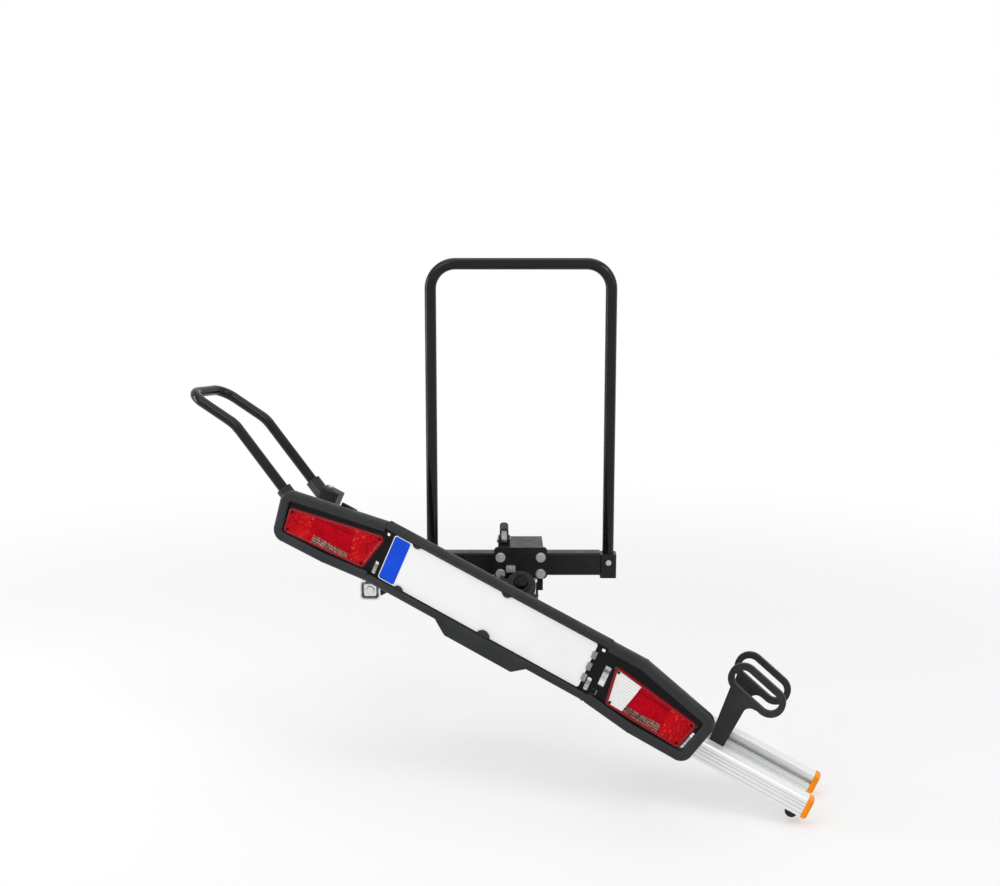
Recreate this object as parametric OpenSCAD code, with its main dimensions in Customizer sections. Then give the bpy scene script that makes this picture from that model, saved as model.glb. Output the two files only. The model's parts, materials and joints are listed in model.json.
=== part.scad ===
// Tow-ball motorcycle carrier: a fixed frame that clamps on a tow ball, and a tilting
// two-profile rail with a light board, a front-wheel hoop and two rear-wheel holders.
// Millimetres. Origin at the tow ball's centre, X to the right, Y to the car, Z up.
// The carriage is drawn level, as it travels, and swung down into its loading position.

/* [Swing hinge] */
// Angle of the hinge axis above the horizontal
axis_tilt = 38; // [20:1:60]
// Swing from the travelling position down to the loading position
swing = 30; // [0:1:32]
// Where the hinge axis crosses the height of the ball
hinge_y = -130; // [-150:1:-120]
// Radius of the fixed pivot boss
boss_r = 36; // [28:1:38]
// Radius of the pivot bolt's shank
pivot_r = 10; // [7:0.5:13]

/* [Rail] */
// Distance of the rail's middle line from the ball
rail_y = -240; // [-260:1:-236]
// Clear width of the wheel channel
channel_w = 120; // [100:1:126]
// Height of the rail's top face
rail_top = -50; // [-60:1:-48]
// Width of one profile
prof_w = 38; // [34:1:44]
// Height of one profile
prof_h = 45; // [42:1:56]
// Left end of the profiles
rail_left = -550; // [-600:1:-530]
// Right end of the profiles
rail_right = 801; // [700:1:900]
// Thickness of an end cap
cap_t = 13; // [8:1:20]

/* [Coupling] */
// Radius of the ball socket
socket_r = 25.1; // [25.02:0.02:25.2]
// Half width of the coupling body
body_half = 55; // [50:1:60]
// Height of the coupling body's top face
body_top = 86; // [80:1:95]
// Travel of the clamp jaw
jaw_travel = 5; // [2:0.5:6]

/* [Arch] */
// Radius of the arch tube
arch_r = 14; // [10:0.5:16]
// Distance of each arch leg from the middle
arch_half = 218; // [200:1:240]
// Height of the arch's top bar
arch_top = 769; // [500:1:900]
// Bend radius of the arch's corners
arch_bend = 60; // [40:1:100]

/* [Light board] */
// Distance of the number plate's face from the ball
plate_y = -401; // [-420:1:-395]
// Number plate length
plate_w = 520; // [440:1:520]
// Number plate height
plate_h = 110; // [100:1:112]
// Depth of the board's frame
board_d = 28; // [24:1:36]
// Width of the rim round a lamp
rim_w = 24; // [22:0.5:26]
// Rounding of the rim's edges
rim_round = 8; // [5:0.5:9]

/* [Wheel hoop and holders] */
// Radius of the hoop's tube
hoop_r = 12.5; // [9:0.5:14]
// Slope of the hoop's legs
hoop_slope = 25.5; // [20:0.5:30]
// Height of the hoop above the rail's top at its bend
hoop_rise = 131; // [100:1:160]
// Reach of the hoop's end bar beyond the bend
hoop_reach = 143; // [110:1:160]
// Middle of the rear-wheel holder along the rail
holder_x = 577; // [400:1:680]
// Width of the holder's ring
ring_t = 14; // [10:1:18]

/* [Lock pin] */
// Radius of the swing lock pin
lock_r = 5; // [4:0.5:6]
// Travel of the swing lock pin
lock_travel = 17; // [15:0.5:20]

/* [Hidden] */
$fn = 48;
// running clearance between pieces that move on each other
run = 0.05;
// free clearance between pieces of different bodies
gap = 0.4;
// rail limits
rail_bot = rail_top - prof_h;
front_face = rail_y - channel_w/2 - prof_w;
rear_face = rail_y + channel_w/2 + prof_w;
front_in = rail_y - channel_w/2;
rear_in = rail_y + channel_w/2;
front_mid = front_face + prof_w/2;
rear_mid = rear_face - prof_w/2;
// inner T-slot height, measured from the profile's bottom, and half its opening
slot_b = prof_h/2 + 3;
slot_half = 5;
// fixed front plate
plate_back = -85;
plate_t = 10;
plate_front = plate_back - plate_t;
bolt_x = 49;
bolt_z = [20.5, 61.5];
// stations along the hinge axis
boss_end = 4;
washer_t = 0.6;
head_s = boss_end + washer_t + gap;
head_t = 12;
hub_end = head_s + head_t + 6;
head_r = 32;
// top edge of the bracket's head plate, along the local Y of the axis frame
head_top = -8;
// lock pin place
lock_x = 32;
lock_y = -112;
// ear of the swing bracket that the lock pin drops through
ear_top = -62;
ear_t = 10;
lock_low = ear_top - ear_t - 2;
// adjuster nut place
nut_x = -24;
nut_z = 34;
// zinc bracket at the left
end_x = -372;
end_z = -32;
end_half = 25;
// beam and arch
arch_y = -28;
beam_z = [3, 60];
beam_d = 40;
sleeve = 40;
// light board stations
pocket_floor = plate_y + 1.5;
board_front = plate_y - 8;
board_back = board_front + board_d;
lens_back = board_front + 11;
lens_front = board_front + 3;
// bars above and below the plate, and where the lamp carriers meet them
bar_h = 19;
bar_z = plate_h/2 + 2;
seam_x = plate_w/2 + 26;
board_arm_x = seam_x + 109;
// outer corners of the lamp carriers, and how much fuller their corners are than their sides
rim_r = 30;
rim_full = 0.25;
// hoop stations
hoop_half = channel_w/2 + prof_w/2;
hoop_bend_z = rail_top + hoop_rise;
hoop_foot_z = rail_top + hoop_r + 3.5;
hoop_foot_x = rail_left + 27;
hoop_bend_x = hoop_foot_x - (hoop_bend_z - hoop_foot_z)/tan(hoop_slope);
hoop_out = 6;
hoop_corner = 42;
clamp_len = 46;
clamp_h = 52;
collar_r = 18.5;
// bends of the hoop's tube: fuller than the straights, and how far these reach in
bend_full = 0.25;
bend_lap = 1;

function unit(v) = v/norm(v);
function out_n(a, b) = [unit(b - a)[1], -unit(b - a)[0]];
function heading(a, b) = atan2(b[1] - a[1], b[0] - a[0]);

// convex outline with corners of radius r round the points p, listed anticlockwise; its sides
// lie a hair inside the corners' circles
module soft_poly(p, r, hair = 0.02) {
  n = len(p);
  polygon([for (i = [0:n - 1]) for (e = [0, 1]) p[(i + e)%n] + (r - hair)*out_n(p[i], p[(i + 1)%n])]);
  for (c = p) translate(c) circle(r);
}

module soft_rect(x0, x1, y0, y1, r) {
  soft_poly([[x0 + r, y0 + r], [x1 - r, y0 + r], [x1 - r, y1 - r], [x0 + r, y1 - r]], r, 0);
}

// a Y-Z outline drawn along X
module along_x(x0, x1) {
  translate([x0, 0, 0]) rotate([90, 0, 90]) linear_extrude(x1 - x0) children();
}

// an X-Z outline drawn along Y
module along_y(y0, y1) {
  translate([0, y1, 0]) rotate([90, 0, 0]) linear_extrude(y1 - y0) children();
}

module box(x, y, z) {
  translate([x[0], y[0], z[0]]) cube([x[1] - x[0], y[1] - y[0], z[1] - z[0]]);
}

// local frame on the hinge axis: Z along the axis towards the rider, X to the right
module on_axis() {
  translate([0, hinge_y, 0]) rotate([90 - axis_tilt, 0, 0]) children();
}

// level carriage swung down into the loading position
module swung() {
  on_axis() rotate([0, 0, -swing]) rotate([axis_tilt - 90, 0, 0]) translate([0, -hinge_y, 0]) children();
}

module mirror_x() {
  children();
  mirror([1, 0, 0]) children();
}

// hexagon bolt: head above Z 0, shank below
module hex_bolt(af, head, shank_r, shank) {
  cylinder(r = af/sqrt(3), h = head, $fn = 6);
  translate([0, 0, -shank]) cylinder(r = shank_r, h = shank);
}

// the ball socket, open at the bottom
module socket_space() {
  translate([0, 0, -40]) cylinder(r = socket_r, h = 44);
  translate([0, 0, 4]) sphere(r = socket_r);
}

module coupling_body() {
  color([0.05, 0.05, 0.055]) difference() {
    union() {
      along_x(-body_half, body_half) polygon([[plate_back, -24], [34, -24], [42, -14], [42, 36],
        [22, body_top], [plate_back, body_top]]);
      for (x = [-54, -33]) {
        box([x, x + 7], [-72, -48], [body_top - 1, body_top + 12]);
        along_x(x, x + 7) translate([-60, body_top + 12]) circle(12);
      }
    }
    socket_space();
    box([-18.4, 18.4], [-62, 0], [-20, -2]);
    along_x(-60, -20) translate([-60, body_top + 12]) circle(5 + run);
    for (x = [-bolt_x, bolt_x]) for (z = bolt_z)
      translate([x, plate_back - 1, z]) rotate([-90, 0, 0]) cylinder(r = 6.2, h = 24);
  }
}

module clamp_jaw() {
  color([0.62, 0.63, 0.65]) difference() {
    box([-18, 18], [-62 + jaw_travel + 0.6, -12], [-20 + gap, -2 - gap]);
    socket_space();
  }
}

module lever_pin() {
  color([0.7, 0.71, 0.73]) {
    along_x(-56, -24) translate([-60, body_top + 12]) circle(5);
    along_x(-58, -54.2) translate([-60, body_top + 12]) circle(8);
  }
}

module coupling_lever() {
  color([0.4, 0.41, 0.43]) difference() {
    union() {
      along_x(-46.4, -33.6) translate([-60, body_top + 12]) circle(11);
      box([-46.4, -33.6], [-60, 62], [body_top + 6, body_top + 19]);
      along_x(-46.4, -33.6) translate([62, body_top + 12.5]) circle(6.5);
    }
    along_x(-60, -20) translate([-60, body_top + 12]) circle(5 + run);
  }
}

module lever_grip() {
  color([0.08, 0.08, 0.08]) difference() {
    along_y(6, 76) soft_rect(-51, -29, body_top + 2, body_top + 23, 8);
    box([-46.4, -33.6], [0, 62], [body_top + 6, body_top + 19]);
    along_x(-46.4, -33.6) translate([62, body_top + 12.5]) circle(6.5);
  }
}

module front_plate() {
  color([0.05, 0.05, 0.055]) difference() {
    union() {
      along_y(plate_front, plate_back) soft_rect(-65, 65, 8, body_top, 10);
      along_y(plate_front, plate_back) soft_rect(-43, 43, -80, 30, 10);
      difference() {
        on_axis() translate([0, 0, -76]) cylinder(r = boss_r, h = 76 + boss_end);
        box([-100, 100], [plate_front + 1, 100], [-300, 300]);
      }
      box([lock_x - 10, lock_x + 10], [lock_y - 10, plate_front + 1], [-50, -30]);
    }
    on_axis() translate([0, 0, -38]) cylinder(r = pivot_r + run, h = 60);
    translate([lock_x, lock_y, -60]) cylinder(r = lock_r + run, h = 40);
    translate([lock_x, lock_y, -30]) cylinder(r = lock_r + 4, h = 80);
    for (x = [-bolt_x, bolt_x]) for (z = bolt_z)
      translate([x, plate_front - 1, z]) rotate([-90, 0, 0]) cylinder(r = 6.4, h = plate_t + 2);
    translate([nut_x, plate_front - 1, nut_z]) rotate([-90, 0, 0]) cylinder(r = 5.2, h = plate_t + 2);
  }
}

module plate_bolts() {
  color([0.78, 0.79, 0.8]) for (x = [-bolt_x, bolt_x]) for (z = bolt_z)
    translate([x, plate_front, z]) rotate([90, 0, 0]) {
      hex_bolt(19, 8, 6, plate_t + 20);
      cylinder(r = 12, h = 1.6);
    }
}

module adjuster_nut() {
  color([0.8, 0.81, 0.82]) {
    along_y(plate_front - 9, plate_front) soft_rect(nut_x - 11.5, nut_x + 11.5, nut_z - 8, nut_z + 8, 3);
    translate([nut_x, plate_front - 12, nut_z]) rotate([-90, 0, 0]) cylinder(r = 5, h = 12 + plate_t - 1);
  }
}

module pivot_bolt() {
  color([0.06, 0.06, 0.065]) on_axis() {
    translate([0, 0, -36]) cylinder(r = pivot_r, h = 36 + hub_end + gap + 1);
    translate([0, 0, hub_end + gap]) cylinder(r = 18, h = 2);
    translate([0, 0, hub_end + gap + 1]) cylinder(r = 15/cos(30), h = 11, $fn = 6);
  }
}

module thrust_washer() {
  color([0.75, 0.66, 0.4]) on_axis() translate([0, 0, boss_end]) difference() {
    cylinder(r = 30, h = washer_t);
    translate([0, 0, -1]) cylinder(r = pivot_r + run, h = washer_t + 2);
  }
}

module lock_pin() {
  color([0.78, 0.79, 0.8]) translate([lock_x, lock_y, lock_low + lock_travel]) {
    cylinder(r = lock_r, h = 64);
    translate([0, 0, 62]) cylinder(r = lock_r + 3, h = 7);
  }
}

module beam_tubes() {
  color([0.05, 0.05, 0.055]) mirror_x()
    along_x(body_half, arch_half - sleeve/2) difference() {
      soft_rect(arch_y - beam_d/2, arch_y + beam_d/2, beam_z[0], beam_z[1], 5);
      soft_rect(arch_y - beam_d/2 + 4, arch_y + beam_d/2 - 4, beam_z[0] + 4, beam_z[1] - 4, 2);
    }
}

module arch_sleeves() {
  color([0.05, 0.05, 0.055]) mirror_x() difference() {
    translate([0, 0, -4]) linear_extrude(60)
      soft_rect(arch_half - sleeve/2, arch_half + sleeve/2, arch_y - sleeve/2, arch_y + sleeve/2, 5);
    translate([arch_half, arch_y, 0]) cylinder(r = arch_r + run, h = 100);
    translate([arch_half, arch_y - 40, 36]) rotate([-90, 0, 0]) cylinder(r = 4 + run, h = 80);
  }
}

module sleeve_bolts() {
  color([0.78, 0.79, 0.8]) mirror_x() translate([arch_half, arch_y - sleeve/2, 36])
    rotate([90, 0, 0]) hex_bolt(13, 5.3, 4, sleeve/2 - arch_r - 0.2);
}

// the arch's centre line as a solid of radius r
module arch_line(r) {
  straight = arch_top - arch_bend;
  mirror_x() translate([arch_half, arch_y, 0]) cylinder(r = r, h = straight);
  mirror_x() translate([arch_half - arch_bend, arch_y, straight]) rotate([90, 0, 0])
    rotate_extrude(angle = 90) translate([arch_bend, 0]) circle(r);
  along_x(-arch_half + arch_bend, arch_half - arch_bend) translate([arch_y, arch_top]) circle(r);
}

module arch() {
  color([0.05, 0.05, 0.055]) difference() {
    arch_line(arch_r);
    arch_line(arch_r - 2.5);
  }
}

module outrigger() {
  color([0.05, 0.05, 0.055]) along_y(arch_y - 10, arch_y + 10)
    polygon([[-arch_half - sleeve/2, 8], [-arch_half - sleeve/2, 48], [end_x + end_half, end_z + 20],
      [end_x + end_half, end_z - 20]]);
}

module end_bracket() {
  color([0.8, 0.81, 0.82]) difference() {
    along_y(-58, arch_y + 14)
      soft_rect(end_x - end_half, end_x + end_half, end_z - end_half, end_z + end_half, 10);
    along_y(-59, arch_y + 10) soft_rect(end_x - end_half + 3.5, end_x + end_half - 3.5,
      end_z - end_half + 3.5, end_z + end_half - 3.5, 8);
  }
}

module end_bracket_core() {
  color([0.8, 0.81, 0.82]) difference() {
    along_y(-56, arch_y + 10) soft_rect(end_x - 15, end_x + 15, end_z - 15, end_z + 15, 5);
    translate([end_x, -60, end_z]) rotate([-90, 0, 0]) cylinder(r = 5.2, h = 30);
  }
}

module end_bracket_bolt() {
  color([0.7, 0.71, 0.73]) translate([end_x, -56, end_z]) rotate([90, 0, 0]) {
    hex_bolt(17, 6, 5, 20);
    cylinder(r = 10, h = 1.6);
  }
}

// carriage, drawn level

module swing_bracket() {
  color([0.05, 0.05, 0.055]) swung() difference() {
    union() {
      on_axis() translate([0, 0, head_s]) {
        cylinder(r = head_r, h = head_t);
        translate([-52, -44, 0]) cube([104, 44 + head_top, head_t]);
        cylinder(r = 24, h = hub_end - head_s);
      }
      mirror_x() along_x(44, 52) polygon([[rear_face - 34, rail_top], [rear_face + 8, rail_top],
        [-137, -1.2], [-146.5, 6.3], [-163, -6], [rear_face - 34, -24]]);
      box([-72, 72], [rear_face, rear_face + 8], [rail_bot, rail_top + 6]);
      box([-52, 52], [rear_face - 34, rear_face + 8], [rail_top, rail_top + 6]);
      box([lock_x - 8, 52], [rear_face, lock_y + 12], [ear_top - ear_t, ear_top]);
    }
    on_axis() translate([0, 0, -70]) cylinder(r = boss_r + 3, h = head_s + 70);
    on_axis() cylinder(r = pivot_r + run, h = 80);
    translate([lock_x, lock_y, ear_top - ear_t - 8]) cylinder(r = lock_r + 0.5, h = ear_t + 20);
    for (x = [-62, 62]) for (z = [rail_bot + 12, rail_top - 12])
      translate([x, rear_face - 1, z]) rotate([-90, 0, 0]) cylinder(r = 4.3, h = 10);
  }
}

module bracket_bolts() {
  color([0.78, 0.79, 0.8]) swung() for (x = [-62, 62]) for (z = [rail_bot + 12, rail_top - 12])
    translate([x, rear_face + 8, z]) rotate([-90, 0, 0]) hex_bolt(13, 5.3, 4, 13);
}

// profile section: X from the outer face to the channel, Y from the bottom
module section() {
  top_round = 9;
  difference() {
    union() {
      difference() {
        soft_rect(0, prof_w, 0, prof_h, 4);
        translate([-1, prof_h - top_round]) square([top_round + 1, top_round + 1]);
      }
      translate([top_round, prof_h - top_round]) circle(top_round);
    }
    translate([prof_w - 4, slot_b - slot_half]) square([5, 2*slot_half]);
    translate([prof_w - 11, slot_b - slot_half - 4]) square([7, 2*slot_half + 8]);
    translate([prof_w/2 - 4, -1]) square([8, 5]);
    translate([prof_w/2 - 8, 3]) square([16, 6]);
    translate([3, 12]) square([prof_w - 16.5, slot_b - 3]);
    translate([4.5, slot_b + 11]) square([prof_w - 7.5, prof_h - slot_b - 14]);
    for (b = [0.18, 0.38, 0.56, 0.72]) translate([-1, b*prof_h]) square([2.1, 1.7]);
  }
}

module front_profile() {
  color([0.86, 0.87, 0.88]) swung() along_x(rail_left, rail_right)
    translate([front_face, rail_bot]) section();
}

module rear_profile() {
  color([0.86, 0.87, 0.88]) swung() difference() {
    along_x(rail_left, rail_right) translate([rear_face, rail_bot]) mirror([1, 0]) section();
    for (x = [-62, 62]) for (z = [rail_bot + 12, rail_top - 12])
      translate([x, rear_face - 8, z]) rotate([-90, 0, 0]) cylinder(r = 4.3, h = 10);
  }
}

module channel_floor() {
  color([0.7, 0.71, 0.72]) swung() box([rail_left + 2, rail_right - 2], [front_in, rear_in],
    [rail_bot, rail_bot + 4]);
}

cross_x = [-430, 0, 430];

module cross_plates() {
  color([0.05, 0.05, 0.055]) swung() for (x = cross_x) difference() {
    box([x - 30, x + 30], [front_face + 2, rear_face - 2], [rail_bot - 6, rail_bot]);
    for (d = [-16, 16]) for (y = [front_mid, rear_mid])
      translate([x + d, y, rail_bot - 10]) cylinder(r = 4.3, h = 20);
  }
}

module cross_bolts() {
  color([0.78, 0.79, 0.8]) swung() for (x = cross_x) for (d = [-16, 16]) for (y = [front_mid, rear_mid]) {
    translate([x + d, y, rail_bot - 6]) rotate([180, 0, 0]) hex_bolt(13, 5.3, 3.8, 13);
    box([x + d - 7, x + d + 7], [y - 7.6, y + 7.6], [rail_bot + 3, rail_bot + 8]);
  }
}

module cap(y) {
  along_x(0, cap_t - 4) translate([y, rail_bot]) soft_rect(-0.4, prof_w + 0.4, -0.4, prof_h + 0.4, 5);
  along_x(0, cap_t - 1.5) translate([y, rail_bot]) soft_rect(0.8, prof_w - 0.8, 0.8, prof_h - 0.8, 5);
  along_x(0, cap_t) translate([y, rail_bot]) soft_rect(3, prof_w - 3, 3, prof_h - 3, 5);
}

module end_caps() {
  color([0.95, 0.5, 0.04]) swung() for (y = [front_face, rear_face - prof_w]) {
    translate([rail_right, 0, 0]) cap(y);
    translate([rail_left, 0, 0]) mirror([1, 0, 0]) cap(y);
  }
}

module rail_feet() {
  color([0.03, 0.03, 0.03]) swung() for (y = [front_mid, rear_mid])
    translate([rail_right - 20, y, rail_bot]) difference() {
      union() {
        translate([0, 0, -3]) cylinder(r = 14, h = 3);
        translate([0, 0, -3]) sphere(r = 14);
      }
      translate([0, 0, 25]) cube([60, 60, 50], center = true);
    }
}

// hoop centre line as a solid of radius r
module hoop_line(r) {
  turn = hoop_slope - hoop_out;
  bend_r = 90;
  t = bend_r*tan(turn/2);
  run1 = (hoop_bend_z - hoop_foot_z)/sin(hoop_slope) - t;
  run2 = hoop_reach - hoop_corner - t;
  end_half_w = hoop_half - hoop_corner;
  translate([hoop_bend_x, rail_y, hoop_bend_z]) rotate([0, hoop_out, 0]) {
    translate([-hoop_reach, -end_half_w - bend_lap, 0]) rotate([-90, 0, 0])
      cylinder(r = r, h = 2*end_half_w + 2*bend_lap);
    for (s = [-1, 1]) translate([hoop_corner - hoop_reach, s*end_half_w, 0]) rotate([0, 0, 135 - 45*s])
      rotate_extrude(angle = 90) translate([hoop_corner, 0]) circle(r + bend_full);
    for (s = [-1, 1]) translate([-t, s*hoop_half, 0]) {
      translate([bend_lap, 0, 0]) rotate([0, -90, 0]) cylinder(r = r, h = run2 + 2*bend_lap);
      translate([0, 0, -bend_r]) rotate([90, 0, 0]) rotate([0, 0, 90 - turn])
        rotate_extrude(angle = turn) translate([bend_r, 0]) circle(r + bend_full);
      translate([0, 0, -bend_r]) rotate([0, turn, 0]) translate([-bend_lap, 0, bend_r])
        rotate([0, 90, 0]) cylinder(r = r, h = run1 + bend_lap);
    }
  }
}

module hoop() {
  color([0.03, 0.03, 0.035]) swung() difference() {
    hoop_line(hoop_r);
    hoop_line(hoop_r - 2.5);
  }
}

// frame on a hoop leg's foot: Z up along the leg
module on_leg(s) {
  translate([hoop_foot_x, rail_y + s*hoop_half, hoop_foot_z]) rotate([0, hoop_slope - 90, 0]) children();
}

module hoop_clamps() {
  color([0.05, 0.05, 0.055]) swung() for (s = [-1, 1]) difference() {
    union() {
      along_x(rail_left + 2, rail_left + 2 + clamp_len) translate([rail_y + s*hoop_half, 0])
        soft_rect(-collar_r, collar_r, rail_top, rail_top + clamp_h, 4);
      on_leg(s) translate([0, 0, 18]) cylinder(r = collar_r, h = 52);
    }
    on_leg(s) cylinder(r = hoop_r + run, h = 200);
    translate([rail_left + 15, rail_y + s*hoop_half, rail_top + 30]) cylinder(r = 4.2, h = 60);
  }
}

module hoop_bolts() {
  color([0.78, 0.79, 0.8]) swung() for (s = [-1, 1])
    translate([rail_left + 15, rail_y + s*hoop_half, rail_top + clamp_h]) hex_bolt(13, 5.3, 4, 14);
}

// light board, drawn from the middle of the number plate

// corner centres of the right and left lamp carriers (anticlockwise, left one mirrored), and lens corners
lamp_r = [[-2, -47], [114, -61], [227, -62], [242, 5.5], [80, 44], [-2, 44]];
lamp_l = [[-2, -46], [114, -58], [224, -61], [234, 1], [-2, 43]];
lens_r = [[51, -48], [216, -56], [228, -6], [41, 22]];
lens_l = [[22, -43], [219, -56], [223, -14], [3, 29]];
// amber strips, from the seam
strip_r = [80, 169];
strip_l = [59, 154];
strip_z = -38;

// the right side as drawn from the seam, and the left one mirrored
module lamps(right, left) {
  if (right) translate([seam_x, 0, 0]) children(0);
  if (left) mirror([1, 0, 0]) translate([seam_x, 0, 0]) children(1);
}

module board_brackets() {
  color([0.05, 0.05, 0.055]) swung() mirror_x() {
    box([board_arm_x - 20, board_arm_x + 20], [front_face - 6, front_face], [rail_bot + 2, rail_top - 4]);
    box([board_arm_x - 20, board_arm_x + 20], [board_back, front_face], [rail_bot + 2, rail_bot + 8]);
    box([board_arm_x - 20, board_arm_x + 20], [board_back, board_back + 6], [rail_bot + 2, 56]);
  }
}

module board_bolts() {
  color([0.78, 0.79, 0.8]) swung() mirror_x() {
    for (d = [-10, 10]) translate([board_arm_x + d, front_face - 6, rail_top - 18]) rotate([90, 0, 0])
      cylinder(r = 10/sqrt(3), h = 4, $fn = 6);
    for (z = [-74, 47]) translate([board_arm_x, board_back + 6, z]) rotate([-90, 0, 0])
      cylinder(r = 10/sqrt(3), h = 4, $fn = 6);
  }
}

// middle of the board: bars above and below the plate, its floor with ribs behind, and the lower bulge
module board_frame() {
  color([0.07, 0.075, 0.075]) swung() difference() {
    union() {
      for (z = [bar_z, -bar_z - bar_h]) along_x(-seam_x, seam_x)
        soft_rect(board_front, board_back, z, z + bar_h, rim_round);
      along_y(pocket_floor, pocket_floor + 6) square([2*seam_x, 2*bar_z + 20], center = true);
      for (x = [-2:2]) box([105*x - 2, 105*x + 2], [pocket_floor + 5, board_back - 3],
        [-bar_z - 5, bar_z + 5]);
      along_y(board_front + 3, board_back - 6)
        soft_poly([[-58, -88], [108, -88], [132, -bar_z - 11], [-88, -bar_z - 11]], 10);
      // knuckles at the seams
      mirror_x() for (z = [-1, 1])
        translate([seam_x - 7, board_front + 10, z*(bar_z + bar_h - 4)]) sphere(r = 6.5);
    }
    for (x = [seam_x - 16, -seam_x + 6]) along_y(board_front - 1, board_back + 1)
      soft_rect(x, x + 10, -54, -22, 3);
    for (x = [seam_x - 14, -seam_x + 6]) along_y(board_front - 1, board_back + 1)
      soft_rect(x, x + 8, 43, 51, 2);
    // room for the inner ends of the lenses
    lamps(true, true) {
      along_y(pocket_floor - 1, board_back + 1) soft_poly(lens_r, 12);
      along_y(pocket_floor - 1, board_back + 1) soft_poly(lens_l, 12);
    }
  }
}

// section of the lamp carriers' rim: X outwards, Y from the front to the back
module rim_section(full) {
  soft_rect(rim_r - rim_w - full, rim_r + full, -full, board_d + full, rim_round);
}

// open rim round the corner centres p
module rim(p) {
  for (i = [0:len(p) - 2]) {
    h = heading(p[i], p[i + 1]);
    translate([p[i][0], board_front, p[i][1]]) rotate([0, 90 - h, 0]) {
      translate([0, 0, -bend_lap]) linear_extrude(norm(p[i + 1] - p[i]) + 2*bend_lap) rim_section(0);
      if (i > 0)
        rotate([-90, 0, 0]) rotate_extrude(angle = h - heading(p[i - 1], p[i])) rim_section(rim_full);
    }
  }
}

// rim with the ledge between it and the lens
module carrier(p, lens, open) {
  difference() {
    union() {
      rim(p);
      difference() {
        along_y(board_front + 9.5, board_front + 14.5) soft_poly(p, rim_r - rim_w + 3);
        along_y(board_front, board_back) soft_poly(lens, 12);
        if (open) box([195, 300], [board_front, board_back], [-100, -20]);
      }
    }
    box([-60, 0], [board_front - 5, board_back + 5], [-120, 120]);
  }
}

// opening and a snap tab in the right ledge
module ledge_cuts() {
  along_y(board_front + 1, board_back) {
    soft_rect(9, lens_r[3][0] - 18, -28, 20, 2);
    translate([2, -54]) square([13, 1.6]);
    translate([2, -42]) square([13, 1.6]);
    translate([13.4, -54]) square([1.6, 13]);
  }
}

module lamp_carriers() {
  color([0.07, 0.075, 0.075]) swung() lamps(true, true) {
    difference() {
      carrier(lamp_r, lens_r, true);
      ledge_cuts();
    }
    carrier(lamp_l, lens_l, false);
  }
}

// cup behind a lens, with two straps to the rim
module housing(lens) {
  difference() {
    along_y(lens_back, board_back - gap) soft_poly(lens, 9);
    along_y(lens_back - 1, board_back - 3) soft_poly(lens, 6);
  }
  box([46, 66], [board_back, board_back + 4], [-74, 56]);
  box([160, 180], [board_back, board_back + 4], [-82, 34]);
  for (x = [46, 160]) box([x, x + 20], [board_back - 2, board_back + 1], [-40, 10]);
}

module lamp_housings() {
  color([0.04, 0.04, 0.045]) swung() lamps(true, true) {
    housing(lens_r);
    housing(lens_l);
  }
}

module lens_blank(lens) {
  along_y(lens_front, lens_back) soft_poly(lens, 9);
}

// lower strip of a lamp and the inner end of the right lamp
module strip_cut(strip, g) {
  box([strip[0] - g, strip[1] + g], [lens_front - 1, lens_back + 1], [-90, strip_z + g]);
}

module clear_cut(g) {
  along_y(lens_front - 1, lens_back + 1) polygon([[10, -90], [82 + g, -90], [82 + g, -55],
    [98 + g, 15], [110 + g, 60], [10, 60]]);
}

module lens_red() {
  color([0.75, 0.03, 0.04]) swung() lamps(true, true) {
    difference() {
      lens_blank(lens_r);
      strip_cut(strip_r, 0.1);
      clear_cut(0.1);
    }
    difference() {
      lens_blank(lens_l);
      strip_cut(strip_l, 0.1);
    }
  }
}

module lens_amber() {
  color([0.95, 0.72, 0.5]) swung() lamps(true, true) {
    difference() {
      intersection() {
        lens_blank(lens_r);
        strip_cut(strip_r, 0);
      }
      clear_cut(0.1);
    }
    intersection() {
      lens_blank(lens_l);
      strip_cut(strip_l, 0);
    }
  }
}

module lens_clear() {
  color([0.92, 0.92, 0.92]) swung() lamps(true, false) intersection() {
    lens_blank(lens_r);
    clear_cut(0);
  }
}

module lens_screws() {
  color([0.06, 0.06, 0.065]) swung() lamps(true, true) {
    for (p = lens_r) translate([p[0], lens_front, p[1]]) rotate([90, 0, 0]) cylinder(r = 3, h = 1.2);
    for (p = lens_l) translate([p[0], lens_front, p[1]]) rotate([90, 0, 0]) cylinder(r = 3, h = 1.2);
  }
}

module number_plate() {
  color([0.93, 0.93, 0.92]) swung() along_y(plate_y, pocket_floor)
    soft_rect(-plate_w/2, plate_w/2, -plate_h/2, plate_h/2, 6);
}

module plate_band() {
  color([0.02, 0.2, 0.7]) swung() along_y(plate_y - 0.4, plate_y)
    soft_rect(-plate_w/2 + 2, -plate_w/2 + 42, -plate_h/2 + 2, plate_h/2 - 2, 5);
}

// round tab over the plate's edge: place, radius, reach over the plate
module tab(x, r, over) {
  along_y(plate_y - 3.5, plate_y) difference() {
    translate([x, plate_h/2 - over + r]) circle(r);
    translate([x - r - 1, bar_z - gap]) square([2*r + 2, 2*r]);
  }
}

module plate_clips() {
  color([0.07, 0.075, 0.075]) swung() {
    tab(-plate_w/2 + 57, 12, 5);
    tab(30, 13, 6);
    mirror([0, 0, 1]) tab(-plate_w/2 + 57, 13, 7);
    mirror([0, 0, 1]) tab(20, 17, 12);
  }
}

// pads that hold the plate's right end
module plate_stops() {
  color([0.35, 0.36, 0.37]) swung() for (z = [-36, -8, 20]) {
    along_y(plate_y - 3, pocket_floor) soft_rect(plate_w/2 + 0.4, plate_w/2 + 8, z, z + 18, 2);
    along_y(plate_y - 3, plate_y) soft_rect(plate_w/2 - 3, plate_w/2 + 7, z + 1, z + 17, 2);
  }
}

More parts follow.
